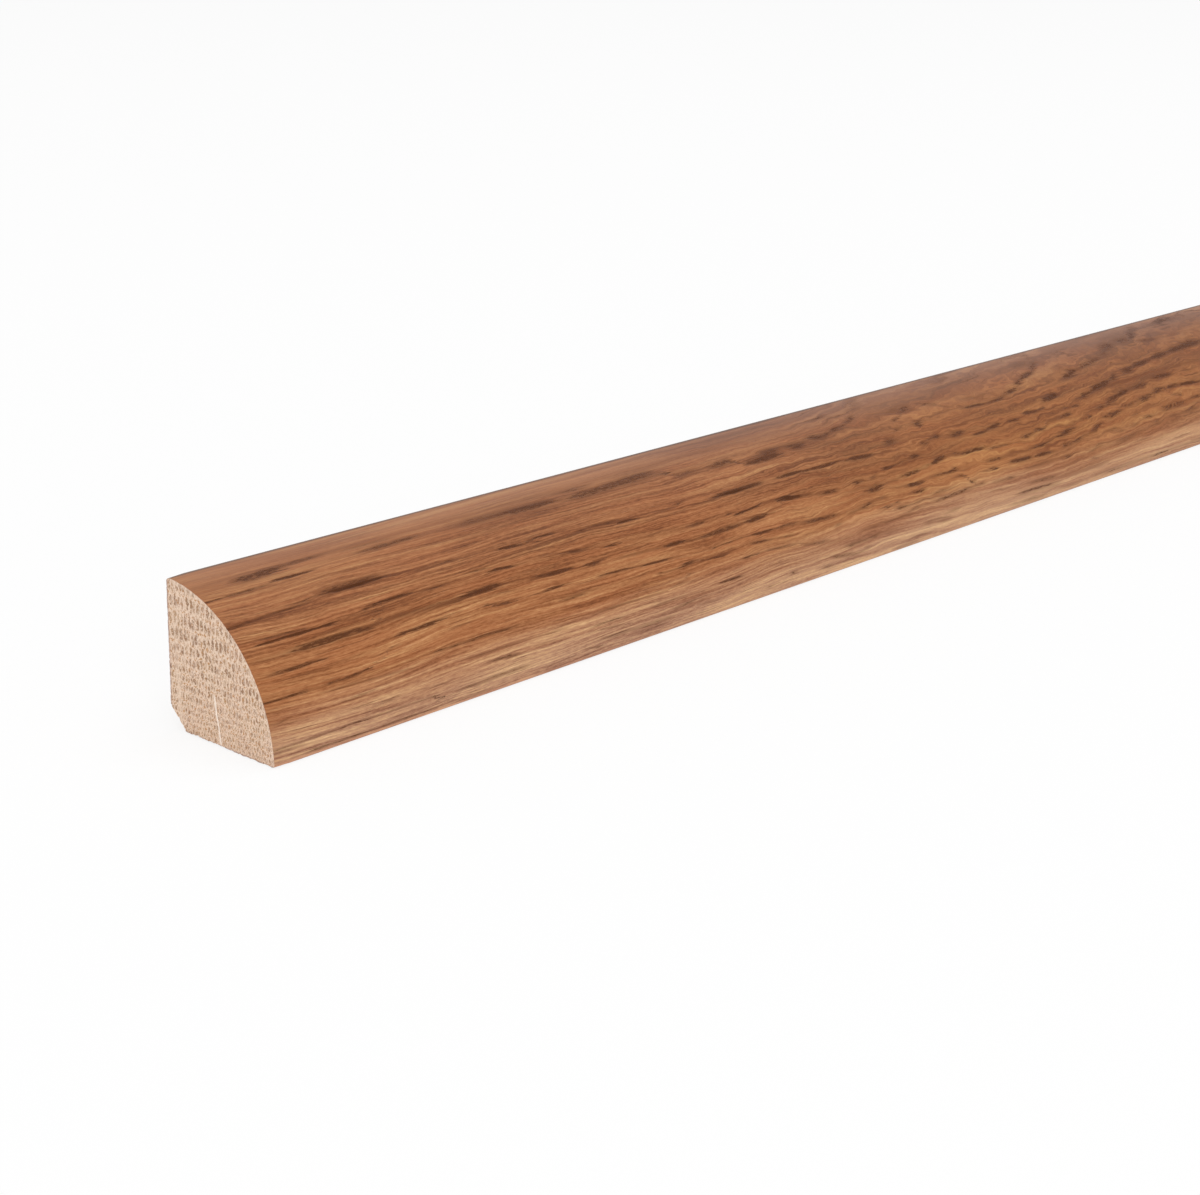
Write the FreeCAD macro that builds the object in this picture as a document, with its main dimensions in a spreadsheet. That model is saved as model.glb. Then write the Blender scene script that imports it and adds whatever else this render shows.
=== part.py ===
import FreeCAD, Part
import os
import Sketcher

# Quarter round moulding: one stick of solid oak, 3/4 in by 3/4 in and 78 in long, machined on
# all sides and sawn square at both ends. It covers the gap where a floor meets a wall.
#
# It lies as it is fitted. X runs along the stick, the rounded face looks up and to -Y, into
# the room, the flat wall face looks to +Y and the flat floor face looks down. The origin is
# the middle of the rectangle that the stick stands on.

# Driving dimensions, in millimetres
DIMENSIONS = {
    "stick_length": 1981.2,  # 78 in, a length that such stock is sold in
    "wall_leg": 19.05,  # height of the flat face against the wall, 3/4 in
    "floor_leg": 19.05,  # depth of the flat face on the floor, 3/4 in
    "face_radius": 19.6,  # the rounded face, a touch flatter than a true quarter circle
    "heel_chamfer": 2.8,  # cut off the corner between the flat faces, clear of the joint there
    "arris_radius": 0.45,  # the long edges are eased, so that the finish holds on them
}

document = FreeCAD.newDocument("quarter_round_moulding")
sheet = document.addObject("Spreadsheet::Sheet", "dimensions")
for row, (alias, value) in enumerate(DIMENSIONS.items(), start=1):
    sheet.set(f"A{row}", alias)
    sheet.set(f"B{row}", str(value))
    sheet.setAlias(f"B{row}", alias)
document.recompute()


# The section across the stick: floor line, wall line and rounded face, meeting in sharp corners
def add_profile(body):
    planes = {feature.Role: feature for feature in body.Origin.OriginFeatures}
    sketch = body.newObject("Sketcher::SketchObject", "profile")
    sketch.AttachmentSupport = (planes["YZ_Plane"], [""])
    sketch.MapMode = "FlatFace"  # sketch x is the stick's Y, and sketch y is its Z

    toe = FreeCAD.Vector(-sheet.floor_leg / 2, 0, 0)
    heel = FreeCAD.Vector(sheet.floor_leg / 2, 0, 0)
    top = FreeCAD.Vector(sheet.floor_leg / 2, sheet.wall_leg, 0)
    chord = toe - top
    half_chord = chord.Length / 2
    inward = FreeCAD.Vector(-chord.y, chord.x, 0).normalize()
    rise = sheet.face_radius - (sheet.face_radius**2 - half_chord**2) ** 0.5
    crown = (top + toe) / 2 - inward * rise

    floor_line = sketch.addGeometry(Part.LineSegment(toe, heel))
    wall_line = sketch.addGeometry(Part.LineSegment(heel, top))
    face_arc = sketch.addGeometry(Part.Arc(top, crown, toe))

    first, last = 1, 2  # the two ends of a line or an arc
    origin = (-1, 1)
    for rule in [
        ("Coincident", floor_line, last, wall_line, first),
        ("Coincident", wall_line, last, face_arc, first),
        ("Coincident", face_arc, last, floor_line, first),
        ("Horizontal", floor_line),
        ("Vertical", wall_line),
        ("Symmetric", floor_line, first, floor_line, last, *origin),
    ]:
        sketch.addConstraint(Sketcher.Constraint(*rule))
    for size, rule in {
        "floor_leg": ("DistanceX", floor_line, first, floor_line, last, sheet.floor_leg),
        "wall_leg": ("DistanceY", wall_line, first, wall_line, last, sheet.wall_leg),
        "face_radius": ("Radius", face_arc, sheet.face_radius),
    }.items():
        number = sketch.addConstraint(Sketcher.Constraint(*rule))
        sketch.renameConstraint(number, size)
        sketch.setExpression(f"Constraints.{size}", f"dimensions.{size}")
    return sketch


# Names of the edges that run along the stick, where pick says yes to their place in the section
def long_edges(feature, pick):
    names = []
    for number, edge in enumerate(feature.Shape.Edges, start=1):
        along = edge.Vertexes[0].Point - edge.Vertexes[-1].Point
        if abs(along.x) > sheet.stick_length / 2 and pick(edge.Vertexes[0].Point):
            names.append(f"Edge{number}")
    return names


# The machined stick: the section run along its length, then the heel cut and the edges eased
def add_moulding():
    body = document.addObject("PartDesign::Body", "quarter_round")
    stick = body.newObject("PartDesign::Pad", "stick")
    stick.Profile = add_profile(body)
    stick.SideType = "Symmetric"
    stick.setExpression("Length", "dimensions.stick_length")
    document.recompute()

    def at_heel(point):
        return point.y > 0 and point.z < sheet.wall_leg / 2

    heel_cut = body.newObject("PartDesign::Chamfer", "heel_cut")
    heel_cut.Base = (stick, long_edges(stick, at_heel))
    heel_cut.setExpression("Size", "dimensions.heel_chamfer")
    document.recompute()

    eased = body.newObject("PartDesign::Fillet", "eased_edges")
    eased.Base = (heel_cut, long_edges(heel_cut, lambda point: True))
    eased.setExpression("Radius", "dimensions.arris_radius")
    body.Tip = eased
    body.Label = "quarter_round"
    document.recompute()
    return body


pieces = [add_moulding()]

for item in document.Objects:
    if {"Invalid", "Error"} & set(item.State):
        raise RuntimeError(f"{item.Label} did not build: {item.State}")
for piece in pieces:
    if piece.Shape.isNull() or not piece.Shape.isValid():
        raise RuntimeError(f"{piece.Label} has no valid shape")

os.makedirs("parts", exist_ok=True)
for piece in pieces:
    piece.Shape.exportStep(f"parts/{piece.Label}.step")
    box = piece.Shape.BoundBox
    print(
        f"{piece.Label}: {box.XLength:.2f} x {box.YLength:.2f} x {box.ZLength:.2f} mm, "
        f"{piece.Shape.Volume / 1000:.1f} cm3, {len(piece.Shape.Faces)} faces"
    )
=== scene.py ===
import math
import random

import bpy
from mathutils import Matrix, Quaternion, Vector


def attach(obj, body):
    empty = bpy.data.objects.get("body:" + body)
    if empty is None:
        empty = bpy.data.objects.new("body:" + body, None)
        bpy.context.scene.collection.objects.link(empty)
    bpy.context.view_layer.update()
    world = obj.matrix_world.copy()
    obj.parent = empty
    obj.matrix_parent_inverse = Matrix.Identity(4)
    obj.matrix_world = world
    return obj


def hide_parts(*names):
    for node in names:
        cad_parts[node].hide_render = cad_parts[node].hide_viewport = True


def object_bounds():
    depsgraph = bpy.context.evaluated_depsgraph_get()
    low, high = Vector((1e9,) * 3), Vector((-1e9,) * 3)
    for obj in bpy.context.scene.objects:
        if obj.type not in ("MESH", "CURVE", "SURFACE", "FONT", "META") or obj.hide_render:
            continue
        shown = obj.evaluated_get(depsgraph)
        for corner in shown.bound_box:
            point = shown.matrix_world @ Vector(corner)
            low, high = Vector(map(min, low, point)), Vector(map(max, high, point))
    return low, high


# Quarter round moulding: one stick of oak, stained and lacquered on its rounded face and raw on
# the sides that it hides. The near end is freshly sawn, so its end grain shows.
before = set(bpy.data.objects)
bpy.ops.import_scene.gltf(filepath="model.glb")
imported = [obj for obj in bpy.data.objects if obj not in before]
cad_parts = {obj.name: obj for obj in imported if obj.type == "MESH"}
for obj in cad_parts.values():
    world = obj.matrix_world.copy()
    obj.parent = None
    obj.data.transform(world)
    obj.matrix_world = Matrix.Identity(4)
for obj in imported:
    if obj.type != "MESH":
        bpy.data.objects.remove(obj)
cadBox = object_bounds()
print("frame loaded")

mm = 0.001
touching = 0.01 * mm  # places nearer than this are the same
lowest, highest = cadBox
sawnEnd, farEnd, wallLine = lowest.x, highest.x, highest.y
stickLength = farEnd - sawnEnd


def srgb(red, green, blue):  # a colour as a picture shows it, 0 to 255, turned into light
    channels = [value / 255 for value in (red, green, blue)]
    return [c / 12.92 if c < 0.04045 else ((c + 0.055) / 1.055) ** 2.4 for c in channels] + [1.0]


# Camera: it stands off to the left of the sawn end, a little above, and looks down along the stick
camera = {
    "photoWidth": 1200,
    "focalPixels": 2347.6,
    "standOff": Vector((-162.8, -214.0, 104.1)) * mm,  # from the foot of the sawn end's wall edge
    "turn": 48.27,  # degrees from straight at the wall, towards the far end
    "tilt": -18.14,
    "roll": 1.27,
    "sensorWidth": 36,
}


def addCamera():
    turn, tilt = math.radians(camera["turn"]), math.radians(camera["tilt"])
    aim = Vector((math.sin(turn), math.cos(turn), 0)) * math.cos(tilt)
    aim.z = math.sin(tilt)
    bpy.ops.object.camera_add(location=Vector((sawnEnd, wallLine, 0)) + camera["standOff"])
    made = bpy.context.object
    made.name = "photoCamera"
    made.rotation_mode = "QUATERNION"
    level = aim.to_track_quat("-Z", "Y")
    made.rotation_quaternion = level @ Quaternion((0, 0, 1), math.radians(camera["roll"]))
    made.data.sensor_width = camera["sensorWidth"]
    made.data.lens = camera["sensorWidth"] * camera["focalPixels"] / camera["photoWidth"]
    made.data.clip_start = 1 * mm
    made.data.clip_end = 100
    bpy.context.scene.camera = made


addCamera()
print("camera stands")


# Node trees: a wire is one socket, and arithmetic on wires adds Math nodes
class Wire:
    def __init__(self, tree, socket=None):
        self.tree = tree
        self.socket = socket

    def add(self, kind, settings=None, inputs=None, output=0):
        made = self.tree.nodes.new(kind)
        for name, value in (settings or {}).items():
            if name == "stops":
                setStops(made.color_ramp, value)
            elif name == "curves":
                setCurves(made.mapping, value)
            else:
                setattr(made, name, value)
        for name, value in (inputs or {}).items():
            if isinstance(value, Wire):
                self.tree.links.new(value.socket, made.inputs[name])
            else:
                made.inputs[name].default_value = value
        return Wire(self.tree, made.outputs[output] if made.outputs else None)

    def math(self, operation, other=0.0):
        return self.add("ShaderNodeMath", {"operation": operation}, {0: self, 1: other})

    def __add__(self, other):
        return self.math("ADD", other)

    def __sub__(self, other):
        return self.math("SUBTRACT", other)

    def __rsub__(self, other):
        return self.add("ShaderNodeMath", {"operation": "SUBTRACT"}, {0: other, 1: self})

    def __mul__(self, other):
        return self.math("MULTIPLY", other)

    def __truediv__(self, other):
        return self.math("DIVIDE", other)

    __radd__ = __add__
    __rmul__ = __mul__

    def most(self, other):
        return self.math("MAXIMUM", other)

    def least(self, other):
        return self.math("MINIMUM", other)

    def eased(self, low, high, start=0.0, end=1.0):  # smoothly from start at low to end at high
        inputs = {"Value": self, "From Min": low, "From Max": high, "To Min": start, "To Max": end}
        return self.add("ShaderNodeMapRange", {"interpolation_type": "SMOOTHSTEP"}, inputs)

    def parts(self):  # the three numbers of a vector
        split = self.add("ShaderNodeSeparateXYZ", None, {0: self})
        return [Wire(self.tree, socket) for socket in split.socket.node.outputs]

    def vector(self, x, y, z=0.0):
        return self.add("ShaderNodeCombineXYZ", None, {0: x, 1: y, 2: z})

    def vectorMath(self, operation, other=(0, 0, 0), output=0):
        settings = {"operation": operation}
        return self.add("ShaderNodeVectorMath", settings, {0: self, 1: other}, output)

    def noise(self, detail=2.0, roughness=0.5, dimensions="2D"):
        inputs = {"Vector": self, "Scale": 1.0, "Detail": detail, "Roughness": roughness}
        return self.add("ShaderNodeTexNoise", {"noise_dimensions": dimensions}, inputs)

    def dice(self):  # three numbers by chance, which change wherever this vector does
        settings = {"noise_dimensions": "2D"}
        return self.add("ShaderNodeTexWhiteNoise", settings, {"Vector": self}, 1).parts()

    def blend(self, first, second, kind="MIX"):  # this wire is the share of the second colour
        inputs = {"Factor": self, 6: first, 7: second}
        return self.add("ShaderNodeMix", {"data_type": "RGBA", "blend_type": kind}, inputs, 2)


def setStops(ramp, stops):
    while len(ramp.elements) < len(stops):
        ramp.elements.new(0.5)
    for element, (place, colour) in zip(ramp.elements, stops):
        element.position, element.color = place, colour


def setCurves(mapping, curves):  # a curve is straight from point to point and level past its ends
    mapping.extend = "HORIZONTAL"
    mapping.use_clip = False
    for curve, points in zip(mapping.curves, curves):
        curve.points[0].location = points[0]
        curve.points[-1].location = points[-1]
        for place in points[1:-1]:
            curve.points.new(*place)
        for point in curve.points:
            point.handle_type = "VECTOR"
    mapping.update()


def newMaterial(name):
    material = bpy.data.materials.new(name)
    material.use_nodes = True
    material.node_tree.nodes.clear()
    return material, Wire(material.node_tree)


# Studio: a white floor that keeps the stick's shadow, a white room, and two soft lamps
studio = {
    "white": srgb(252, 252, 252),
    "floorSize": 400.0,
    "floorDrop": 0.02 * mm,  # the floor keeps this clear of the stick
    "shadowReach": 3.0,  # past this distance the floor is as plain as the room
    "litShare": 0.2,  # how much of the floor's look comes from the light on it
    "roomLight": 0.57,
    "lampAim": 0.12,  # the lamps point this far past the sawn end
    "front": {"size": (1.6, 1.2), "place": Vector((-2.5, -2.0, 1.2)), "watts": 29.0},
    "above": {"size": (3.0, 2.0), "place": Vector((-0.6, -0.4, 2.4)), "watts": 24.0},
}


def seenPlainly(wires):  # 1 where the camera, a reflection or glass sees the surface
    kinds = ("Is Camera Ray", "Is Glossy Ray", "Is Transmission Ray")
    rays = [wires.add("ShaderNodeLightPath", None, None, kind) for kind in kinds]
    return rays[0].most(rays[1]).most(rays[2])


def addFloor():
    place = (0, 0, -studio["floorDrop"])
    bpy.ops.mesh.primitive_plane_add(size=studio["floorSize"], location=place)
    floor = bpy.context.object
    floor.name = "floor"
    bpy.ops.object.transform_apply(location=True)
    material, wires = newMaterial("whiteFloor")
    paint = wires.add("ShaderNodeBsdfDiffuse", None, {"Color": studio["white"]})
    place = wires.add("ShaderNodeTexCoord", None, None, "Object")
    reach = studio["shadowReach"]
    far = place.vectorMath("LENGTH", output=1).eased(reach / 2, reach)
    white = far.blend(srgb(255, 255, 255), studio["white"])
    glow = wires.add("ShaderNodeEmission", None, {"Color": white, "Strength": 1.0})
    share = seenPlainly(wires) * (far * studio["litShare"] + (1 - studio["litShare"]))
    look = wires.add("ShaderNodeMixShader", None, {0: share, 1: paint, 2: glow})
    wires.add("ShaderNodeOutputMaterial", None, {"Surface": look})
    floor.data.materials.append(material)


def addRoom():
    room = bpy.data.worlds.new("whiteRoom")
    bpy.context.scene.world = room
    room.use_nodes = True
    room.node_tree.nodes.clear()
    wires = Wire(room.node_tree)
    strength = seenPlainly(wires) * (1 - studio["roomLight"]) + studio["roomLight"]
    back = wires.add("ShaderNodeBackground", None, {"Color": studio["white"], "Strength": strength})
    wires.add("ShaderNodeOutputWorld", None, {"Surface": back})


def addLamp(name, size, place, watts):
    bpy.ops.object.light_add(type="AREA", location=place)
    lamp = bpy.context.object
    lamp.name = name
    lamp.data.shape = "RECTANGLE"
    lamp.data.size, lamp.data.size_y = size
    lamp.data.energy = watts
    lamp.rotation_mode = "QUATERNION"
    aim = Vector((sawnEnd + studio["lampAim"], 0, 0)) - place
    lamp.rotation_quaternion = aim.to_track_quat("-Z", "Y")


addFloor()
addRoom()
addLamp("frontLamp", **studio["front"])
addLamp("topLamp", **studio["above"])
bpy.context.scene.view_settings.view_transform = "Standard"
print("studio ready")

# The stick: a quarter of a dowel, with the heel planed off and the long edges eased
stick = {
    "faceRadius": 19.6 * mm,
    "leg": 19.05 * mm,
    "heelCut": 2.8 * mm,
    "arrisRadius": 0.45 * mm,
    "dowelFacets": 96,
    "arrisSteps": 4,
    "collar": 2.5 * mm,  # length at the sawn end that the torn fibres stay in
    "fibres": ((10, 70), (1, 4), (0.5, 2)),  # edges longer than so many mm get so many cuts
    "tear": 0.2 * mm,  # the saw's exit side, foot and heel, is torn so far back at most
    "fray": 0.1 * mm,  # and the rest of the edge so far
    "tears": ((0.12, 3, 2.2), (0.5, 4, 0.8)),  # long and short: how sudden, how rare, what share
    "lean": 0.4,  # how far a torn fibre also gives way along the stick
    "heart": 7 * mm,  # the middle of the section is this far from wall and floor
    "smoothUnder": 30,  # degrees between faces that still shade as one
    "thirds": 3,  # lengths of the sides that lie one above the other on the map
}
toMiddle = math.sqrt(stick["faceRadius"] ** 2 - stick["leg"] ** 2 / 2) / math.sqrt(2)
overlap = toMiddle - stick["leg"] / 2  # the dowel's centre line is this far outside wall and floor
arcY, arcZ = wallLine + overlap, -overlap
heart = Vector((0, wallLine - stick["heart"], stick["heart"]))
topAngle = math.pi - math.asin((stick["leg"] + overlap) / stick["faceRadius"])


def choose(obj, kind, pick):  # selects the edges or faces that pick says yes to, in edit mode
    bpy.ops.object.mode_set(mode="OBJECT")
    for group in (obj.data.vertices, obj.data.edges, obj.data.polygons):
        group.foreach_set("select", [False] * len(group))
    for item in {"EDGE": obj.data.edges, "FACE": obj.data.polygons}[kind]:
        item.select = pick(item)
    bpy.ops.object.mode_set(mode="EDIT")
    bpy.ops.mesh.select_mode(type=kind)


def planeCut(point, normal, clear=True):  # saws off what lies on the normal's side, or marks it
    bpy.ops.mesh.select_all(action="SELECT")
    bpy.ops.mesh.bisect(
        plane_co=point, plane_no=normal, clear_outer=clear, use_fill=clear, threshold=1e-7
    )


def easeEdge(obj, y, z, offset, steps):
    def alongIt(edge):
        ends = [obj.data.vertices[i].co for i in edge.vertices]
        near = all(math.hypot(end.y - y, end.z - z) < 5 * touching for end in ends)
        return near and abs(ends[0].x - ends[1].x) > 1 * mm

    choose(obj, "EDGE", alongIt)
    bpy.ops.mesh.bevel(offset=offset, segments=steps, affect="EDGES")


def bearing(co):  # which way a place lies from the middle of the section
    return math.atan2(co.z - heart.z, co.y - heart.y)


def tearEdge(obj):  # the saw leaves ragged fibres round the near end, most where it comes out
    def atSaw(co):
        return co.x < sawnEnd + touching

    for longer, cuts in stick["fibres"]:
        def tooLong(edge):
            ends = [obj.data.vertices[i].co for i in edge.vertices]
            return all(map(atSaw, ends)) and (ends[0] - ends[1]).length > longer * mm

        choose(obj, "EDGE", tooLong)
        bpy.ops.mesh.subdivide(number_cuts=cuts)
    bpy.ops.object.mode_set(mode="OBJECT")
    dice = random.Random(7)
    torn = [0.0 for kind in stick["tears"]]
    rim = [v for v in obj.data.vertices if atSaw(v.co)]
    for vertex in sorted(rim, key=lambda v: bearing(v.co)):
        out, up = wallLine - vertex.co.y, vertex.co.z
        exitSide = min(up, out + up - stick["heelCut"]) < 10 * touching
        pull = 0.0
        for kind, (sudden, rare, share) in enumerate(stick["tears"]):
            torn[kind] += sudden * (dice.random() ** rare - torn[kind])
            pull += share * torn[kind]
        pull *= stick["tear"] if exitSide else stick["fray"]
        inward = (heart - vertex.co) * Vector((0, 1, 1))
        vertex.co += inward.normalized() * pull
        vertex.co.x += pull * stick["lean"]
    corners = max(len(face.vertices) for face in obj.data.polygons)  # the torn end has the most
    choose(obj, "FACE", lambda face: len(face.vertices) == corners)
    bpy.ops.mesh.poke()  # triangles from the middle of the sawn end to its torn rim


def addStick():
    bpy.ops.object.select_all(action="DESELECT")
    bpy.ops.mesh.primitive_cylinder_add(
        vertices=stick["dowelFacets"],
        radius=stick["faceRadius"],
        depth=stickLength,
        location=((sawnEnd + farEnd) / 2, arcY, arcZ),
        rotation=(0, math.pi / 2, 0),
    )
    moulding = bpy.context.object
    moulding.name = "quarter_round_stick"
    bpy.ops.object.transform_apply(location=True, rotation=True)

    heel, leg, radius = stick["heelCut"], stick["leg"], stick["arrisRadius"]
    shallow = radius * math.tan(math.pi / 8)  # the heel's corners turn by only 45 degrees
    bpy.ops.object.mode_set(mode="EDIT")
    planeCut((0, wallLine, 0), (0, 1, 0))
    planeCut((0, 0, 0), (0, 0, -1))
    planeCut((0, wallLine - heel, 0), (0, 1, -1))
    easeEdge(moulding, wallLine, leg, radius, stick["arrisSteps"])
    easeEdge(moulding, wallLine - leg, 0, radius, stick["arrisSteps"])
    easeEdge(moulding, wallLine, heel, shallow, stick["arrisSteps"] // 2)
    easeEdge(moulding, wallLine - heel, 0, shallow, stick["arrisSteps"] // 2)
    thirds = [stickLength * third / stick["thirds"] for third in range(1, stick["thirds"])]
    for cut in [stick["collar"]] + thirds:
        planeCut((sawnEnd + cut, 0, 0), (1, 0, 0), clear=False)
    tearEdge(moulding)
    bpy.ops.mesh.select_all(action="SELECT")
    bpy.ops.mesh.remove_doubles(threshold=touching / 5)
    bpy.ops.mesh.normals_make_consistent(inside=False)
    bpy.ops.object.mode_set(mode="OBJECT")
    return moulding


moulding = addStick()
print("stick cut:", len(moulding.data.polygons), "faces")

rowShift = 0.37  # each row of pores, or of streaks by chance, starts this share of a field later


# Oak: where a point is on the wood, in millimetres
class Oak:
    def __init__(self, name):
        self.material, self.wires = newMaterial(name)
        place = self.wires.add("ShaderNodeTexCoord", None, None, "Object")
        x, y, z = place.parts()
        self.along = (x - sawnEnd) / mm  # from the sawn end
        self.out = (wallLine - y) / mm  # from the wall
        self.up = z / mm
        angle = (z - arcZ).math("ARCTAN2", y - arcY)
        self.down = (angle - topAngle) * (stick["faceRadius"] / mm)  # round the face from the top
        reach = self.wires.vector(0, y - arcY, z - arcZ).vectorMath("LENGTH", output=1)
        self.under = (stick["faceRadius"] - reach) / mm  # depth below the rounded face

    def finish(self, colour, roughness, height, depth, shine):
        relief = {"Height": height, "Distance": depth, "Strength": 1.0}
        bump = self.wires.add("ShaderNodeBump", None, relief)
        inputs = {"Base Color": colour, "Roughness": roughness, "Normal": bump}
        inputs["Specular IOR Level"] = shine
        surface = self.wires.add("ShaderNodeBsdfPrincipled", None, inputs)
        self.wires.add("ShaderNodeOutputMaterial", None, {"Surface": surface})
        return self.material


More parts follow.
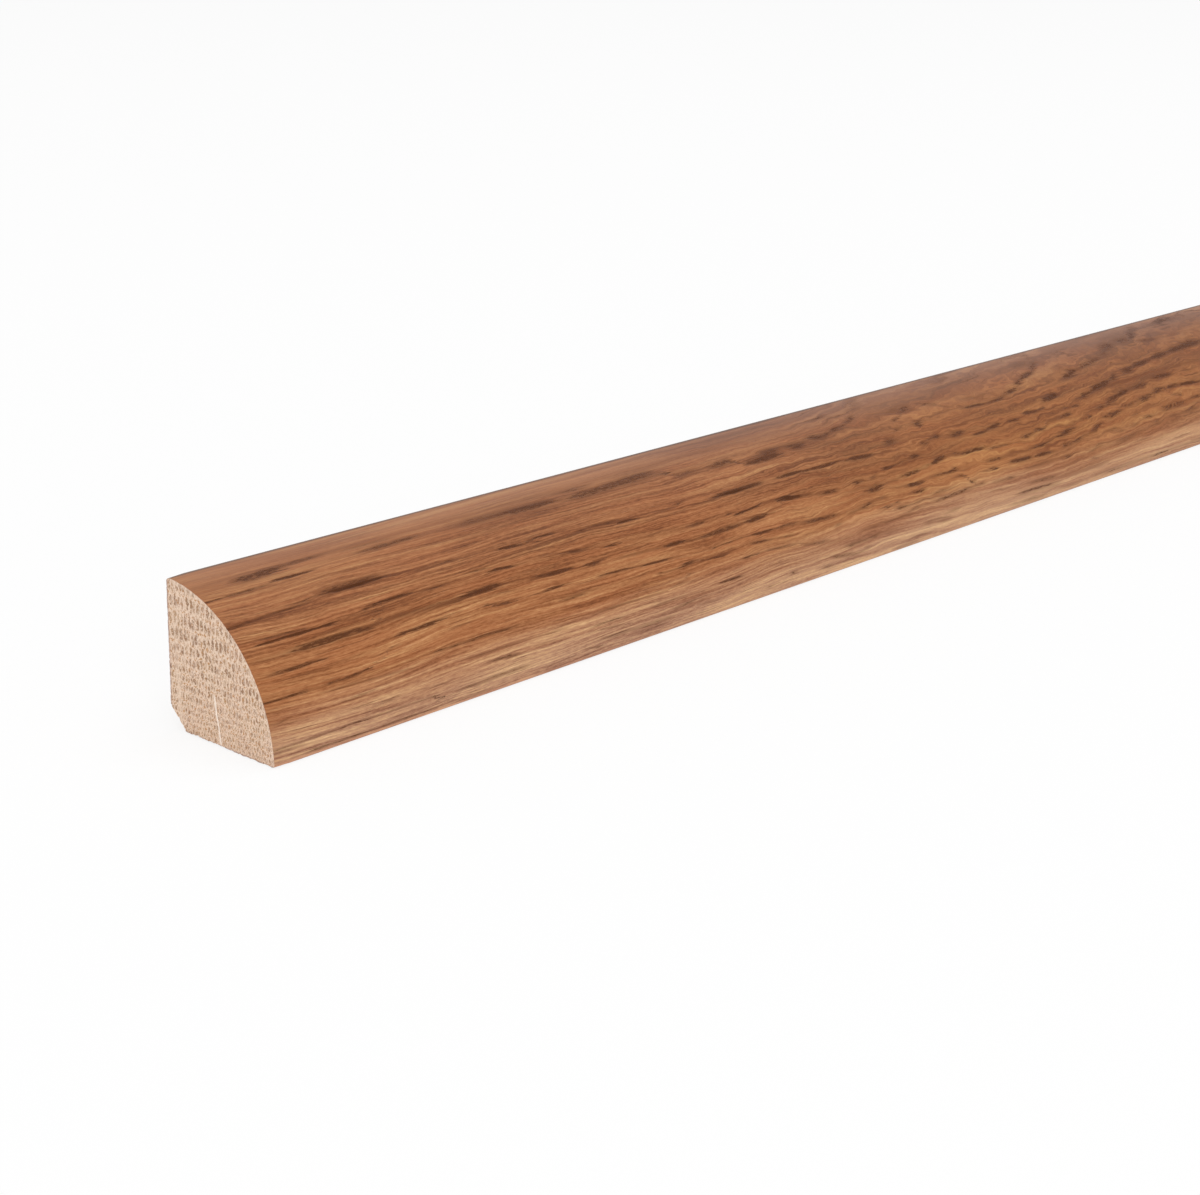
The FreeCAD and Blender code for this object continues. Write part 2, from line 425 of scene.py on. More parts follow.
# Stained face, in millimetres from the sawn end and down from the top edge. A streak is a row of
# pores that runs out of the wood: where it starts and ends along the stick, how far down it is at
# each, its thickness and its depth of colour
stained = {
    "span": 256.0,  # length of the stick that the streaks below are drawn for
    "girth": 30.0,
    "chanceLength": 15.0,  # past that span, one streak in each field of this size
    "chanceHeight": 1.75,
    "rowGap": 0.4,  # drawn streaks share a row when they are at least this far apart
    "rowStep": 3,  # and step up or down by less than this
    "nearlyMeet": 2.5,  # closer than this along a row, one streak runs on into the next
    "taper": 2.5,  # how far in from its tips a long streak reaches its full thickness
    "tip": 0.55,  # share of its thickness and colour that a streak has at its tips
    "slender": 0.58,  # share of a streak's thickness that shows near the sawn end
    "stout": 0.74,  # and the share that shows past the next value
    "stoutFrom": 95,
    "stoutLeast": 0.5,  # none is thinner there
    "relief": 0.04 * mm,
    "shine": 0.15,
    "darkest": srgb(80, 38, 3),
    "paintedTopEdgeShade": srgb(84, 64, 54),  # painted shade: a thin dark line along the top edge, which turns away from the light
    "foot": srgb(208, 148, 116),  # where it was wiped off the toe
    "deep": srgb(253, 247, 226),  # laid over the middle near the knot, where the stain took best
    "red": [  # the wood between the streaks, from its dark lines to its light ones
        srgb(102, 54, 24), srgb(130, 75, 40), srgb(157, 98, 59), srgb(174, 116, 74),
        srgb(192, 138, 94),
    ],
    "golden": [
        srgb(110, 66, 34), srgb(138, 88, 52), srgb(162, 111, 70), srgb(184, 135, 88),
        srgb(206, 160, 110),
    ],
    # painted light and sheen: the wood as it looks paler on the toe and near the top, where light
    # and reflections fall
    "pale": [
        srgb(116, 76, 56), srgb(148, 104, 80), srgb(178, 135, 105), srgb(200, 158, 118),
        srgb(220, 182, 138),
    ],
    "patches": [  # broad and soft: ramps down the face, then ramps along it, and below 0 is darker
        ([], [(60, 150, 0, -0.08)]),
        ([(5, 13, 1, 0)], [(30, 90, -0.03, -0.17)]),
        ([(2, 5, 1, 0)], [(60, 90, 0.05, -0.12)]),
        ([(2, 4), (12, 15, 1, 0)], [(150, 170, 0, -0.08)]),
        ([(18.5, 21), (24.5, 26, 1, 0)], [(150, 175, -0.06, 0)]),
        ([(6, 8), (17, 20, 1, 0)], [(35, 50), (72, 85, -0.06, 0)]),
        ([(25, 28)], [(30, 60, 0, -0.13)]),
        ([(25, 28)], [(72, 94, 0, 0.27)]),
        ([(9, 10.5), (12.5, 14, 1, 0)], [(80, 90), (112, 122, 0.12, 0)]),
        ([(17, 20), (23, 26, 1, 0)], [(80, 95), (150, 170, 0.13, 0)]),
        ([(1, 4, 1, 0)], [(115, 170, 0, 0.12)]),
    ],
    "streaks": [
        # The first 50 mm from the sawn end
        (4.5, 15.5, 5.5, 4.9, 1.8, 0.6), (14, 21, 4.7, 4.5, 1.0, 0.35),
        (10, 17, 7.0, 6.9, 0.6, 0.85), (-3, 10, 7.5, 7.3, 0.5, 0.5), (24, 37, 6.2, 5.9, 1.2, 0.5),
        (22, 33, 5.0, 5.0, 0.6, 0.3), (41, 62, 5.9, 6.6, 2.2, 0.42),
        (14, 26.5, 10.6, 10.8, 1.5, 0.55), (15.5, 26, 11.1, 11.0, 0.45, 0.9),
        (-3, 13, 12.1, 11.5, 0.7, 0.5), (35, 38, 11.4, 11.4, 0.5, 0.6),
        (43.5, 50, 11.7, 12.1, 0.6, 0.8), (1.5, 16.5, 15.1, 15.1, 0.45, 0.95),
        (1.5, 12, 14.4, 14.8, 0.35, 0.5), (18, 23, 14.7, 14.2, 0.45, 0.65),
        (22, 29, 14.2, 14.2, 0.5, 0.75), (29, 34.5, 14.4, 14.4, 0.45, 0.6),
        (37.5, 41, 13.8, 13.9, 0.4, 0.5), (40.5, 46.5, 14.3, 14.8, 0.5, 0.9),
        (5, 20, 16.9, 16.9, 1.0, 0.65), (20, 36, 16.6, 16.8, 1.0, 0.4),
        (34, 43, 16.7, 16.5, 1.0, 0.85), (0.5, 12, 19.0, 18.9, 0.6, 0.6),
        (20.5, 31.5, 19.0, 18.6, 0.5, 0.75), (36, 38.5, 18.4, 18.5, 0.3, 0.4),
        (39, 44, 19.1, 19.1, 0.5, 0.6), (47, 53, 19.1, 19.1, 0.5, 0.75),
        (20, 23, 20.3, 20.0, 0.4, 0.4), (29, 37, 20.0, 20.1, 0.3, 0.4),
        (-3, 8, 21.8, 22.0, 0.4, 0.65), (8, 19, 22.0, 21.7, 0.4, 0.6),
        (26.5, 42, 22.3, 22.2, 0.5, 0.5), (24, 26, 22.0, 22.3, 0.3, 0.3),
        (8, 24, 22.7, 23.3, 0.4, 0.35), (0.5, 4, 24.5, 24.5, 0.5, 0.5),
        (31, 43, 24.4, 24.3, 0.5, 0.4), (45, 48.5, 24.5, 24.5, 0.3, 0.4),
        (35, 42, 25.6, 25.7, 0.5, 0.55), (45.5, 48.5, 25.6, 25.6, 0.3, 0.35),
        (15, 22, 26.2, 25.9, 0.3, 0.4), (24.5, 28.5, 26.4, 26.3, 0.4, 0.5),
        (-3, 5, 27.9, 27.9, 0.5, 0.4), (25.3, 27.5, 27.5, 27.5, 0.4, 0.6),
        (30, 44, 27.8, 27.6, 0.6, 0.4), (11.5, 14, 27.5, 27.4, 0.3, 0.3),
        (2.5, 28, 29.0, 29.0, 0.4, 0.45), (28, 38, 29.0, 29.1, 0.3, 0.3),
        (44, 50, 29.4, 29.4, 0.3, 0.4),
        # From 50 to 100 mm
        (50, 60, 6.6, 6.4, 1.2, 0.2), (61, 69, 5.4, 5.2, 1.0, 0.45),
        (62, 82, 6.9, 6.2, 2.0, 0.55), (80, 84.5, 7.0, 7.2, 0.6, 0.5),
        (83, 89, 8.2, 7.9, 1.2, 0.45), (91, 97, 8.3, 7.9, 1.3, 0.6),
        (50, 52.5, 12.3, 12.3, 0.4, 0.8), (51.5, 56.5, 11.6, 11.8, 0.5, 0.8),
        (58, 61, 12.5, 12.6, 0.7, 0.5), (62.5, 69, 12.4, 12.8, 0.8, 0.5),
        (66.5, 71.5, 13.1, 13.1, 0.35, 0.95), (74, 79, 13.2, 13.0, 0.5, 0.4),
        (78, 82.5, 12.9, 12.6, 0.4, 0.6), (85.5, 100, 13.3, 13.3, 0.8, 0.7),
        (88, 95, 13.4, 13.5, 0.35, 0.9), (50.5, 54, 14.5, 14.6, 0.3, 0.5),
        (54, 59.5, 14.9, 15.4, 0.5, 0.65), (62, 65.5, 15.8, 15.9, 0.6, 0.8),
        (78, 84, 16.5, 16.5, 0.6, 0.55), (86.5, 90, 16.4, 16.5, 0.35, 0.7),
        (88.5, 94.5, 16.9, 16.5, 0.4, 0.95), (95, 98, 16.3, 16.3, 0.3, 0.4),
        (98.5, 103, 16.5, 16.8, 0.6, 0.75), (47, 56, 17.2, 17.2, 0.6, 0.75),
        (56, 62, 17.7, 17.3, 0.7, 0.65), (62, 78, 17.8, 18.4, 0.5, 0.35),
        (73, 78, 18.2, 18.2, 0.6, 0.7), (80, 90, 18.6, 18.3, 0.7, 0.6),
        (91, 95, 18.3, 18.3, 0.8, 0.8), (95, 98, 18.2, 18.2, 0.4, 0.4),
        (59, 65, 19.4, 19.6, 0.4, 0.75), (66.5, 75, 19.8, 20.1, 0.35, 0.8),
        (50, 57, 21.2, 20.8, 0.5, 0.45), (65, 68, 21.0, 21.0, 0.3, 0.4),
        (68, 72, 21.3, 21.7, 0.4, 0.5), (74, 78, 21.6, 21.3, 0.6, 0.75),
        (80, 85, 21.8, 21.8, 0.3, 0.6), (80, 89, 20.6, 20.2, 0.35, 0.5),
        (90.5, 96.5, 20.4, 20.5, 0.45, 0.85), (97, 102, 20.4, 20.6, 0.35, 0.5),
        (89, 95, 21.4, 21.9, 0.5, 0.65), (95, 101, 21.9, 22.2, 0.4, 0.5),
        (87, 90.5, 23.2, 23.1, 0.4, 0.6), (92, 100, 23.1, 23.5, 0.4, 0.45),
        (75.5, 78, 22.8, 22.7, 0.3, 0.4), (52, 56, 22.2, 22.4, 0.4, 0.35),
        (54, 70, 23.8, 24.1, 0.4, 0.35), (71, 75, 23.9, 23.7, 0.3, 0.3),
        (55.5, 61, 25.7, 25.5, 0.4, 0.5), (66, 75, 25.6, 25.5, 0.5, 0.4),
        (80, 88, 25.4, 25.5, 0.4, 0.65), (56, 62, 26.4, 26.5, 0.3, 0.35),
        (70.5, 77, 26.9, 26.5, 0.5, 0.4), (55, 73, 27.6, 27.8, 0.5, 0.35),
        (76, 82, 27.5, 27.6, 0.4, 0.3), (90, 95, 28.3, 28.3, 0.3, 0.4),
        (96.5, 98.5, 27.5, 27.5, 0.3, 0.5), (53, 58, 28.1, 28.7, 0.4, 0.45),
        # From 100 to 130 mm, where the rows begin to climb
        (98, 108, 9.5, 9.3, 1.0, 0.8), (101, 109, 8.2, 8.3, 0.8, 0.55),
        (108, 114, 8.6, 9.0, 1.3, 0.6), (114.5, 118.5, 7.8, 8.6, 1.0, 0.75),
        (119.5, 125, 8.0, 7.3, 0.7, 0.7), (124, 130, 7.4, 5.4, 0.8, 0.6),
        (129, 136, 4.6, 1.5, 2.0, 0.4), (120, 125, 4.0, 4.2, 0.8, 0.3),
        (100, 110, 13.2, 13.4, 0.5, 0.8), (108, 118, 13.5, 13.5, 0.5, 0.85),
        (117, 126, 13.6, 14.1, 0.6, 0.85), (126, 130, 14.1, 14.2, 0.4, 0.4),
        (100, 103, 16.6, 16.9, 0.7, 0.8), (102, 108, 17.0, 17.2, 0.5, 0.5),
        (107, 114, 17.5, 17.9, 0.6, 0.6), (117, 120, 17.6, 17.6, 0.5, 0.85),
        (120, 124, 17.6, 17.3, 0.4, 0.6), (124, 128.5, 16.8, 16.8, 0.4, 0.85),
        (119, 123.5, 19.4, 19.2, 0.7, 0.85), (124.5, 127, 19.0, 19.0, 0.4, 0.4),
        (101, 112, 20.9, 21.4, 0.4, 0.6), (112, 115, 21.6, 21.8, 0.3, 0.4),
        (115.5, 119.5, 21.5, 21.4, 0.5, 0.75), (120, 124, 20.9, 20.9, 0.4, 0.5),
        (120, 124, 22.6, 22.4, 0.6, 0.65), (125.5, 128, 22.3, 22.2, 0.4, 0.6),
        (125.5, 127.5, 23.2, 23.2, 0.3, 0.55), (126.5, 128.5, 24.2, 24.1, 0.3, 0.5),
        (108, 110.5, 22.8, 22.8, 0.5, 0.6), (108.5, 110, 23.8, 24.0, 0.5, 0.5),
        (114, 115, 23.8, 23.8, 0.4, 0.5), (101, 109, 24.1, 24.8, 0.4, 0.45),
        (115.5, 119, 24.7, 24.7, 0.4, 0.4), (110.5, 115, 26.4, 26.2, 0.4, 0.5),
        (116, 120, 26.3, 26.0, 0.4, 0.4), (106, 114, 27.0, 27.9, 0.4, 0.45),
        (114.5, 117, 27.5, 27.5, 0.4, 0.4), (105, 107, 28.2, 28.3, 0.4, 0.5),
        # From 130 to 150 mm
        (129, 132.5, 13.0, 12.4, 1.2, 0.7), (132, 135, 11.5, 10.8, 0.5, 0.65),
        (135.3, 137, 9.4, 8.9, 0.6, 0.7), (138.5, 141.5, 8.2, 7.0, 0.7, 0.6),
        (141.8, 143.3, 8.2, 8.2, 0.6, 0.65), (144, 148.5, 7.0, 8.4, 0.9, 0.5),
        (138.5, 141.5, 11.2, 11.1, 1.3, 0.75), (137, 140, 14.8, 14.4, 0.9, 0.75),
        (139.5, 143.5, 14.2, 14.1, 0.6, 0.9), (144.5, 149.5, 14.7, 14.8, 0.9, 0.75),
        (133, 136, 16.4, 16.0, 0.7, 0.85), (130.5, 132, 16.3, 16.3, 0.4, 0.5),
        (136.5, 141, 18.1, 17.7, 0.7, 0.85), (142, 145, 17.7, 17.8, 0.7, 0.6),
        (144, 153, 18.1, 18.2, 0.5, 0.75), (129, 131, 18.6, 18.6, 0.6, 0.6),
        (131.8, 134, 18.8, 18.6, 0.5, 0.6), (128.5, 133, 20.4, 20.6, 0.5, 0.8),
        (134, 142, 20.2, 20.3, 0.35, 0.5), (140.5, 144, 20.0, 20.1, 0.4, 0.8),
        (128.5, 130.8, 21.6, 21.6, 0.3, 0.55), (131.5, 133, 21.8, 21.9, 0.4, 0.7),
        (141.5, 144.5, 21.3, 21.5, 0.5, 0.8), (133, 141, 22.9, 22.7, 0.3, 0.45),
        (145.5, 147.5, 22.9, 22.7, 0.4, 0.55), (146, 149, 23.6, 23.6, 0.4, 0.5),
        (129, 132, 24.0, 24.0, 0.3, 0.5), (134, 147, 24.1, 23.7, 0.35, 0.6),
        (137, 142, 26.3, 26.2, 0.4, 0.4), (135, 139, 27.4, 27.3, 0.3, 0.35),
        (131, 133, 26.8, 26.9, 0.3, 0.4), (122, 130, 29.2, 29.2, 0.3, 0.4),
        # From 150 to 200 mm, nearer the knot
        (150, 152, 9.5, 9.7, 0.7, 0.7), (152.5, 160, 10.5, 10.9, 0.5, 0.75),
        (159, 166, 11.0, 10.7, 0.6, 0.75), (165, 171, 10.4, 9.5, 0.7, 0.8),
        (170, 175, 8.9, 7.9, 1.0, 0.75), (174.5, 179, 7.7, 7.0, 1.0, 0.75),
        (178.5, 183, 7.0, 4.5, 1.2, 0.6), (182, 186, 3.6, 0.8, 1.4, 0.45),
        (175, 182, 4.6, 4.2, 1.4, 0.4), (154, 160, 8.6, 9.3, 0.6, 0.4),
        (150.5, 156, 15.7, 15.7, 0.5, 0.8), (155, 160, 15.5, 15.0, 0.6, 0.85),
        (160, 166, 15.2, 15.4, 0.5, 0.75), (166, 171, 14.6, 14.9, 0.6, 0.85),
        (170, 174, 14.8, 14.5, 0.5, 0.9), (173, 180, 13.7, 12.6, 0.9, 0.9),
        (180.5, 184, 12.3, 11.8, 0.5, 0.7), (183, 190, 10.5, 9.6, 1.0, 0.75),
        (186.5, 189, 9.3, 8.9, 0.8, 0.5), (190, 200, 9.3, 8.0, 1.0, 0.65),
        (176, 179.5, 15.7, 15.8, 0.4, 0.55), (180.5, 183.5, 16.2, 15.9, 0.5, 0.8),
        (183.5, 189, 15.0, 14.2, 0.8, 0.85), (188, 196, 14.0, 13.3, 0.9, 0.85),
        (197.5, 200, 12.8, 12.5, 1.2, 0.85), (166, 170, 17.9, 18.2, 0.6, 0.85),
        (162, 167, 18.7, 18.3, 0.6, 0.75), (151.5, 159, 18.8, 18.8, 0.5, 0.55),
        (170.5, 175, 17.3, 17.2, 0.5, 0.4), (175.5, 180, 17.2, 17.0, 0.7, 0.75),
        (181.5, 186, 18.7, 18.4, 0.6, 0.75), (185.5, 189, 17.9, 17.5, 0.9, 0.6),
        (190.5, 195.5, 17.2, 16.4, 0.9, 0.6), (193.5, 199.5, 16.6, 16.0, 0.7, 0.85),
        (172.5, 179, 20.1, 19.5, 0.8, 0.8), (188.5, 195, 19.3, 19.1, 0.8, 0.7),
        (193.5, 199, 18.4, 18.8, 0.7, 0.6), (150, 155, 20.5, 20.6, 0.4, 0.65),
        (163.5, 170, 20.6, 20.7, 0.5, 0.65), (150, 154, 21.8, 22.0, 0.4, 0.75),
        (156.5, 164, 21.8, 22.1, 0.6, 0.85), (163, 171.5, 22.1, 22.3, 0.5, 0.7),
        (172.5, 175, 21.9, 21.9, 0.8, 0.7), (176.5, 179, 21.8, 21.7, 0.5, 0.8),
        (179.5, 182, 21.4, 21.3, 0.4, 0.5), (182.5, 184.5, 20.8, 20.8, 0.9, 0.6),
        (185.5, 187.5, 20.3, 20.3, 0.4, 0.7), (172.5, 175.5, 23.7, 23.7, 0.4, 0.6),
        (160, 171, 23.7, 23.6, 0.3, 0.4), (180.5, 183.5, 24.2, 24.0, 0.5, 0.5),
        (183.5, 186, 23.8, 23.9, 0.7, 0.5), (150, 156, 24.1, 24.2, 0.3, 0.4),
        (155, 157, 24.2, 24.2, 0.3, 0.6), (160, 171, 26.0, 26.5, 0.5, 0.5),
        (157, 172, 27.3, 27.8, 0.7, 0.35), (180.5, 183.5, 25.6, 25.6, 0.5, 0.5),
        (180, 182.5, 28.5, 28.5, 0.4, 0.5), (187.5, 191, 21.7, 21.8, 0.4, 0.5),
        (190, 193, 22.5, 22.6, 0.5, 0.5), (194, 198, 22.2, 22.2, 0.6, 0.5),
        (197, 200, 20.7, 20.6, 0.8, 0.5), (188, 200, 24.3, 23.6, 0.5, 0.45),
        # And from 200 mm on
        (200, 203, 8.0, 6.6, 1.6, 0.5), (202.5, 207.5, 6.0, 5.6, 1.8, 0.6),
        (207, 215, 5.6, 5.2, 1.6, 0.5), (214, 218, 5.0, 4.0, 2.0, 0.5),
        (217, 222, 3.6, 1.6, 2.0, 0.45), (213.5, 221, 6.6, 7.5, 0.8, 0.5),
        (220, 224, 7.2, 6.6, 0.7, 0.35), (226, 240, 3.0, 1.9, 1.6, 0.35),
        (200, 206, 12.7, 12.0, 1.2, 0.7), (205, 211, 11.9, 11.6, 0.9, 0.85),
        (213, 219, 11.4, 11.0, 1.2, 0.8), (218, 233, 10.9, 10.5, 1.2, 0.55),
        (199, 207, 16.0, 15.8, 0.8, 0.7), (207, 216, 15.2, 15.4, 0.7, 0.75),
        (219, 222, 15.5, 15.6, 0.7, 0.5), (200, 205, 18.2, 18.2, 0.8, 0.7),
        (206, 210, 17.8, 17.5, 1.0, 0.8), (210, 217, 17.6, 17.7, 0.6, 0.7),
        (216, 223, 17.9, 18.3, 0.5, 0.75), (200, 203, 21.5, 21.7, 0.6, 0.6),
        (205, 216, 21.0, 21.0, 0.8, 0.6), (212, 216, 19.3, 19.8, 0.7, 0.55),
        (217.5, 221, 20.7, 20.9, 0.6, 0.7), (203, 206, 23.0, 23.0, 0.9, 0.5),
        (213, 220, 22.8, 22.7, 0.7, 0.5), (209, 212, 22.8, 22.8, 0.5, 0.45),
        (200, 215, 20.1, 20.1, 0.5, 0.3),
    ],
}


def inRows(streaks):  # streaks that follow each other along the stick share a row
    rows = []
    for streak in sorted(streaks):
        start, top = streak[0], streak[2]

        def step(row):
            return abs(row[-1][3] - top)

        free = [row for row in rows if row[-1][1] + stained["rowGap"] <= start]
        free = [row for row in free if step(row) < stained["rowStep"]]
        if free:
            min(free, key=step).append(streak)
        else:
            rows.append([streak])
    return rows


def drawnStreaks(oak, along, down, slim, soft):
    span, girth = stained["span"], stained["girth"]
    place = oak.wires.vector(along / span, along / span, along / span)
    level = down / girth
    dark = 0.0
    for row in inRows(stained["streaks"]):
        middles, depths, widths = [], [], []
        gaps = [after[0] - before[1] for before, after in zip(row, row[1:])]
        joins = [0] + [gap < stained["nearlyMeet"] for gap in gaps] + [0]
        for number, (start, end, topStart, topEnd, thick, depth) in enumerate(row):
            taper = min((end - start) / 4, stained["taper"])
            full = thick * stained["slender"] / girth
            if start > stained["stoutFrom"]:
                full = max(thick, stained["stoutLeast"]) * stained["stout"] / girth
            spots = [spot / span for spot in (start, start + taper, end - taper, end)]
            middles += [(start / span, topStart / girth), (end / span, topEnd / girth)]
            tip, faint = full * stained["tip"], depth * stained["tip"]
            widths += zip(spots, (tip, full, full, tip))
            depths += zip(spots, (faint * joins[number], depth, depth, faint * joins[number + 1]))
        settings = {"curves": (middles, depths, widths)}
        curves = place.add("ShaderNodeVectorCurve", settings, {"Vector": place})
        middle, depth, width = curves.parts()
        off = (level - middle) / width * slim
        body = (1 - off * off).most(0).math("POWER", soft)
        dark = body * depth + dark
    return dark * along.eased(90, 130, 1.35, 1.15)


def scatteredStreaks(oak, along, ring):  # past the drawn ones, streaks of the same kind by chance
    length, height = stained["chanceLength"], stained["chanceHeight"]
    row = (ring / height).math("FLOOR")
    column = along / length + row * rowShift
    cell = column.math("FLOOR")
    dice = oak.wires.vector(cell, row).dice()
    endways = (column - cell - dice[0] * 0.4 - 0.3) / (dice[1] * 0.3 + 0.2)
    across = (ring / height - row - dice[2] * 0.4 - 0.3) / (dice[0] * dice[1] * 0.15 + 0.09)
    body = (1.3 - endways * endways - across * across).most(0)
    return body * dice[2].eased(0.15, 0.9, 0, 0.9)


def stainedFace():
    oak = Oak("stainedOak")
    along, down = oak.along, oak.down
    swirl = along.eased(150, 230, 0, 6) * (1 - down / 27).most(0)
    knot = along.eased(112, 142, 0, 5) * (1 - down / 10).most(0)
    rise = (swirl + knot) * along.eased(235, 330, 1, 0)  # it climbs round the knot, then settles
    curl = oak.wires.vector(along / 7, down / 2.2).noise(2, 0.6) - 0.5
    curl = curl * along.eased(50, 150, 0.4, 2) * along.eased(235, 300, 1, 0.2)
    curl = curl * down.eased(20, 27, 1, 0.3)
    drift = oak.wires.vector(along * 0.02, down * 0.05).noise(2) - 0.5
    ring = down + rise + curl + drift * 3  # which growth ring comes to the surface

    def lines(length, height, detail=2.0, roughness=0.5):  # noise drawn out along the grain
        return oak.wires.vector(along / length, ring / height).noise(detail, roughness) - 0.5

    broad = lines(70, 3.2, 1)
    middle = lines(32, 0.9)
    fine = lines(15, 0.27, 3, 0.6)
    hair = lines(1.2, 0.16, 3, 0.7)
    ragged = oak.wires.vector(along / 5, down / 0.3).noise(3, 0.65) - 0.5
    astray = along + ragged * along.eased(50, 120, 7, 4)
    slim, soft = along.eased(40, 125, 1.08, 0.72), along.eased(70, 130, 1, 1.7)
    dark = drawnStreaks(oak, astray, down + ragged * 0.4, slim, soft)
    byChance = scatteredStreaks(oak, along + ragged * 5, ring + ragged * 0.4)
    dark = byChance * (along.eased(95, 125, 0, 0.4) + along.eased(225, 245, 0, 0.6)) + dark
    thin = (lines(9, 0.22, 2) + 0.5).eased(0.62, 0.8, 0, 0.5)
    crisp = down.eased(1, 12, 0.35, 1)  # the grain is quieter near the top and past the knot
    crisp = crisp * (along.eased(70, 150, 1, 0.62) + along.eased(230, 300, 0, 0.38))
    dark = dark * (fine * 0.9 + hair * 2 + 0.8) + (dark * (1 + hair * 2) - 0.5).most(0) * 0.8
    dark = dark + thin * crisp

    patches = 0.0
    for across, lengthways in stained["patches"]:
        ramps = [down.eased(*ramp) for ramp in across] + [along.eased(*ramp) for ramp in lengthways]
        patches = math.prod(ramps[1:], start=ramps[0]) + patches
    drawnPart = along.eased(230, 300, 1, 0)  # fades out where the drawn streaks end
    belly = down.eased(8, 12) * down.eased(16, 19.5, 1, 0) * along.eased(20, 140, 0.15, 0.17)
    tone = broad * 0.28 + middle * 0.7 + (fine * 1.15 + hair * 0.8) * crisp + 0.54
    tone = tone - belly + patches * drawnPart

    def ramp(name):
        colours = stained[name]
        stops = [(number / (len(colours) - 1), colour) for number, colour in enumerate(colours)]
        return tone.add("ShaderNodeValToRGB", {"stops": stops}, {0: tone})

    gold = lines(22, 1.1, 2, 0.6) * 1.8 + along.eased(90, 150, 0.25, 0.45)
    colour = gold.least(1).most(0).blend(ramp("red"), ramp("golden"))
    # painted light: the toe is painted paler for the light that reaches it from below and in front
    paintedToeLight = (down + broad * 3 + middle * 3 - along.eased(150, 180, 0, 1.8)).eased(21.5, 29.5)
    # painted sheen: near the top the face is painted paler, for the reflection of the room on the
    # lacquer
    top = (down + middle * 3).eased(1, 8, 1, 0) * along.eased(40, 120, 0.2, 0.5)
    colour = paintedToeLight.most(top).blend(colour, ramp("pale"))
    deep = down.eased(6, 11) * down.eased(20, 25, 1, 0) * along.eased(90, 170) * drawnPart
    colour = deep.blend(colour, stained["deep"], "MULTIPLY")
    colour = dark.least(0.93).most(0).blend(colour, stained["darkest"])
    foot = down.eased(29, 29.5, 0, along.eased(20, 90, 0.5, 0.15))
    colour = foot.blend(colour, stained["foot"])
    # a thin line of painted shade along the top edge
    colour = down.eased(0.5, 1.1, 0.8, 0).blend(colour, stained["paintedTopEdgeShade"])
    roughness = (fine * 0.15 + 0.42) + dark * 0.1
    height = fine * 0.4 - dark
    return oak.finish(colour, roughness, height, stained["relief"], stained["shine"])


# Raw oak. At the sawn end the pores stand in level rows, wide apart near the top, and rays stand
# upright across them. The same rows run on along the stick, so the sides show them drawn out
raw = {
    "wood": srgb(187, 153, 121),
    "pink": srgb(189, 154, 130),
    "pale": srgb(237, 211, 189),
    "ray": srgb(252, 236, 222),
    "dull": srgb(179, 145, 116),
    "late": srgb(192, 136, 82),  # the dense wood between two rows
    "pore": srgb(155, 119, 94),
    "edge": srgb(158, 124, 118),  # the sawn end's rim
    "stain": srgb(168, 112, 76),  # what ran round the edges of the rounded face
    "rows": (  # heights of the rows, some past the stick for where the grain rises or dips
        -3.6, -2.8, -2.0, -1.2, -0.4, 0.4, 1.2, 2.0, 2.8, 3.6, 4.6, 5.8, 6.8, 7.9, 9.2, 10.5,
        12.2, 14.1, 16.4, 18.2, 20.2, 22.4,
    ),
    "poreSteps": (0.5, 0.74),  # from pore to pore along a low row and a high one
    "rayPlace": 9.4,  # the long ray's foot, from the wall
    "ripple": 1.3,  # from one planer mark to the next along the hidden sides
    "roughness": 0.8,
    "relief": 0.06 * mm,
    "shine": 0.3,
}


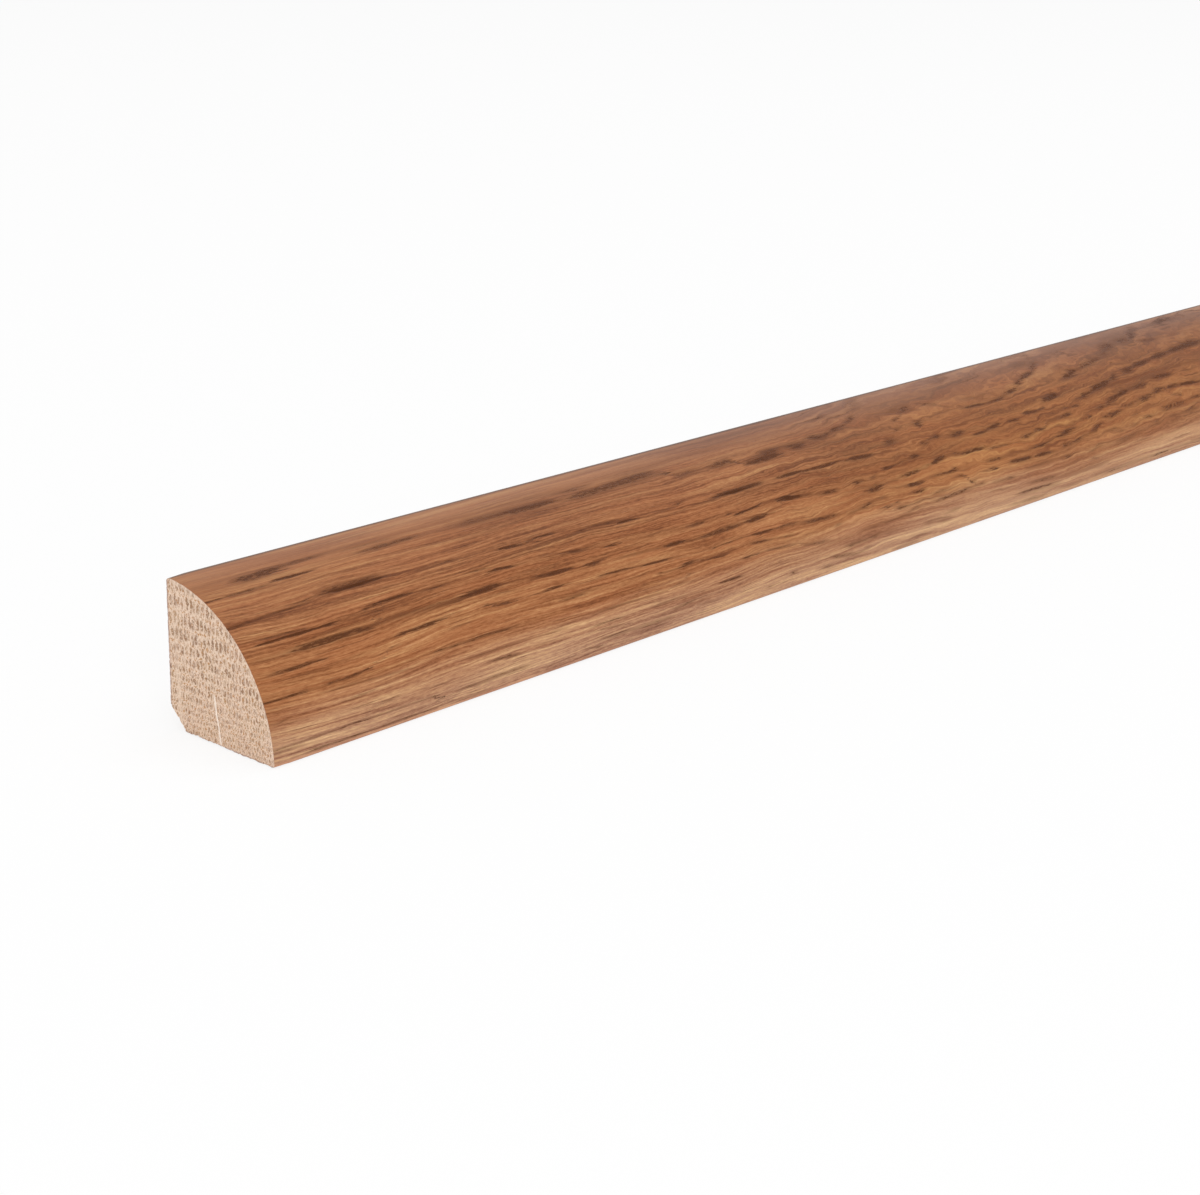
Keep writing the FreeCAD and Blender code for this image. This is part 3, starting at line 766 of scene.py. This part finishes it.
def rawOak():
    oak = Oak("rawOak")
    along, out, up = oak.along, oak.out, oak.up
    place = oak.wires.vector(along * 0.02, out * 0.35, up * 0.35)
    drift = oak.wires.vector(along * 0.004, out * 0.02, up * 0.02).noise(2, 0.5, "3D") - 0.5
    drift = drift * along.eased(0, 60, 0, 9)
    wave = place.noise(2, 0.5, "3D") - 0.5
    rise = up + wave - out * 0.02 + drift
    low, high, count = raw["rows"][0], raw["rows"][-1], len(raw["rows"])
    points = [((row - low) / (high - low), n / count) for n, row in enumerate(raw["rows"])]
    share = (rise - low) / (high - low)
    level = share.add("ShaderNodeFloatCurve", {"curves": (points,)}, {"Value": share}) * count
    row = (level + 0.5).math("FLOOR")

    curly = oak.wires.vector(along * 0.1 + 7, out * 1.5, up * 1.8).noise(1, 0.6, "3D") - 0.5
    outward = out + up * 0.08 + wave * 0.8 + drift * 0.7 + curly * 0.5
    column = outward / row.eased(11, 16, *raw["poreSteps"]) + row * rowShift
    cell = column.math("FLOOR")
    dice = oak.wires.vector(cell, row).dice()
    comesUp = oak.wires.vector(along * 0.05, cell * 3.7, row * 5.3).noise(1, 0.5, "3D")
    comesUp = comesUp.eased(0.35, 0.65, 0.1, 1).most(along.eased(0, 8, 1, 0))
    grain = oak.wires.vector(along * 0.1, out * 2.4, up * 2.6).noise(2, 0.7, "3D") - 0.5
    aside = (column - cell - 0.5 + (dice[0] - 0.5) * 0.35 + grain * 0.7) * 2.8
    above = (level - row + (dice[1] - 0.5) * 0.3 + grain * 0.6) * (dice[0] + 2.0)
    dash = (aside * aside + above * above).math("SQRT")  # how far out from a pore's middle
    pore = dash.eased(0.45, 1.25, 1, 0) * dice[2].eased(0.2, 1.0, 0.2, 1) * comesUp
    rim = dash.eased(0.8, 1.2) * dash.eased(1.3, 1.8, 1, 0)
    late = (level - row).math("ABSOLUTE").eased(0.3, 0.5)
    upright = oak.wires.vector(along * 0.1, (out + curly) * 2.8 + up * 0.3, up * 1.8)
    upright = upright.noise(2, 0.6, "3D") - 0.5
    curl = curly.math("ABSOLUTE").eased(0.01, 0.05, 1, 0)
    speck = oak.wires.vector(along * 0.1 + 3, out * 1.8, up * 3.6).noise(1, 0.5, "3D")
    speck = speck.eased(0.52, 0.63)

    colour = wave.eased(-0.1, 0.1).blend(raw["wood"], raw["pink"])
    colour = (grain * 0.5 + upright).eased(0.02, 0.2, 0, 0.85).blend(colour, raw["dull"])
    lowDown = up.eased(4, 9, 1, 0)
    orange = (late * (grain * 8 + 0.5)).most(speck * (lowDown * 0.3 + 0.7)).least(0.9)
    colour = orange.blend(colour, raw["late"])
    bright = (grain * 0.6 + upright).eased(-0.02, -0.2, 0, 0.9)
    colour = bright.most(curl * 0.65).blend(colour, raw["pale"])
    colour = (rim * (0.95 + grain * 2)).most(0).least(1).blend(colour, raw["pale"])
    pore = pore * (1 - lowDown * 0.35)
    colour = (pore * (0.78 + grain * 3 - curl * 0.6)).most(0).least(0.95).blend(colour, raw["pore"])

    atEnd = along.least(stickLength / mm - along).eased(0.02, 0.12, 1, 0)
    longRay = (out + up * 0.17 - raw["rayPlace"] + wave * 0.3).math("ABSOLUTE")
    longRay = longRay.eased(0.06, 0.2, 1, 0) * up.eased(5.8, 6.6, 1, 0)
    nearWall = (out + up * 0.05 - 2.0 + grain).math("ABSOLUTE").eased(0.1, 0.6, 1, 0)
    nearWall = nearWall * up.eased(6, 12, 0.55, 0.15)
    # painted highlight: a pale rim on the sawn end along the rounded face, where its edge catches
    # the light
    rimHighlight = (oak.under + grain * 0.8).math("ABSOLUTE").eased(0.3, 0.7, 0.4, 0)
    colour = (nearWall.most(rimHighlight) * atEnd).blend(colour, raw["pale"])
    colour = (longRay * atEnd).blend(colour, raw["ray"])
    border = out.least(up).least(oak.under * 2 + 0.1) + grain * 0.3
    colour = (border.eased(0.12, 0.34, 0.7, 0) * atEnd).blend(colour, raw["edge"])

    leg = stick["leg"] / mm
    fromFace = (leg - up).least(leg - out) + grain * 1.5 + wave * 3
    colour = (fromFace.eased(0.3, 1.1, 0.7, 0) * (1 - atEnd)).blend(colour, raw["stain"])
    ripple = (along * (2 * math.pi / raw["ripple"])).math("SINE") * (1 - atEnd)
    height = grain - pore * 1.5 + ripple * 0.15
    return oak.finish(colour, raw["roughness"], height, raw["relief"], raw["shine"])


def onFace(place):  # whether a place in the section is on the rounded face or its eased edges
    out, up = wallLine - place.y, place.z
    return min(out, up) > 4 * touching and out + up > stick["heelCut"] + stick["arrisRadius"]


def cleanMiddle(obj, face):  # the middle of a face's far edge, which the saw never tore
    corners = [obj.data.vertices[i].co for i in face.vertices]
    farthest = max(co.x for co in corners)
    clean = [co for co in corners if co.x > farthest - touching]
    return sum(clean, Vector()) / len(clean)


for material in (stainedFace(), rawOak()):
    moulding.data.materials.append(material)
for face in moulding.data.polygons:
    stainedHere = abs(face.normal.x) < 0.5 and onFace(cleanMiddle(moulding, face))
    face.material_index = 0 if stainedHere else 1

# Map: the sides unroll into three bands, one for each third of the length, with the ends above
chart = {
    "side": 1024,  # pixels that the sizes below are counted in
    "margin": 5,
    "rawScale": 2.1,  # pixels for each millimetre round the stick
    "stainedScale": 6.4,
    "band": 286,
    "endWidth": 480,
    "endHeight": 150,
}


def sectionLines(obj):  # the clean far end's outline as lines, each with its place on the map
    outline = [v.co for v in obj.data.vertices if v.co.x > farEnd - touching]
    heelFoot = max((co for co in outline if co.z < touching / 10), key=lambda co: co.y)

    def turned(co):
        return (bearing(co) - bearing(heelFoot) + 1e-6) % (2 * math.pi)

    corners = sorted(outline, key=turned)
    lines, reach = [], 0.0
    for start, end in zip(corners, corners[1:] + corners[:1]):
        middle = (start + end) / 2
        scale = chart["stainedScale"] if onFace(middle) else chart["rawScale"]
        length = (end - start).length / mm * scale
        lines.append((start.yz, end.yz, reach, length))
        reach += length
    return lines, reach


def mapStick(obj):
    lines, girth = sectionLines(obj)
    print("map goes round in", round(girth), "pixels")

    def roundPlace(point):
        best = None
        for start, end, reach, length in lines:
            run = end - start
            share = min(max((point - start).dot(run) / run.length_squared, 0), 1)
            gap = (start + run * share - point).length
            if best is None or gap < best[0] - 1e-9:
                best = (gap, reach + share * length)
        return best[1]

    places = [roundPlace(v.co.yz) for v in obj.data.vertices]
    chartMap = obj.data.uv_layers.new(name="OFBake")
    third = stickLength / stick["thirds"]
    side, margin = chart["side"], chart["margin"]
    for face in obj.data.polygons:
        middle = roundPlace(face.center.yz)
        number = min(int((face.center.x - sawnEnd) / third), stick["thirds"] - 1)
        for loop in face.loop_indices:
            vertex = obj.data.loops[loop].vertex_index
            co = obj.data.vertices[vertex].co
            if abs(face.normal.x) > 0.9:
                out, up = (wallLine - co.y) / stick["leg"], co.z / stick["leg"]
                second = (chart["endWidth"] + 3 * margin) * (face.normal.x > 0)
                u = margin + out * chart["endWidth"] + second
                v = stick["thirds"] * chart["band"] + margin + up * chart["endHeight"]
            else:
                place = places[vertex]
                if place - middle > girth / 2:
                    place -= girth
                if middle - place > girth / 2:
                    place += girth
                u = margin + (side - 2 * margin) * (co.x - sawnEnd - number * third) / third
                v = number * chart["band"] + margin + place
            chartMap.data[loop].uv = (u / side, v / side)


mapStick(moulding)
bpy.ops.object.select_all(action="DESELECT")
moulding.select_set(True)
bpy.context.view_layer.objects.active = moulding
bpy.ops.object.shade_smooth_by_angle(angle=math.radians(stick["smoothUnder"]))
weigh = moulding.modifiers.new("flatSidesStayFlat", "WEIGHTED_NORMAL")
weigh.keep_sharp = True
bpy.ops.object.modifier_apply(modifier=weigh.name)
print("wood finished")

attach(moulding, "root")
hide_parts("quarter_round")
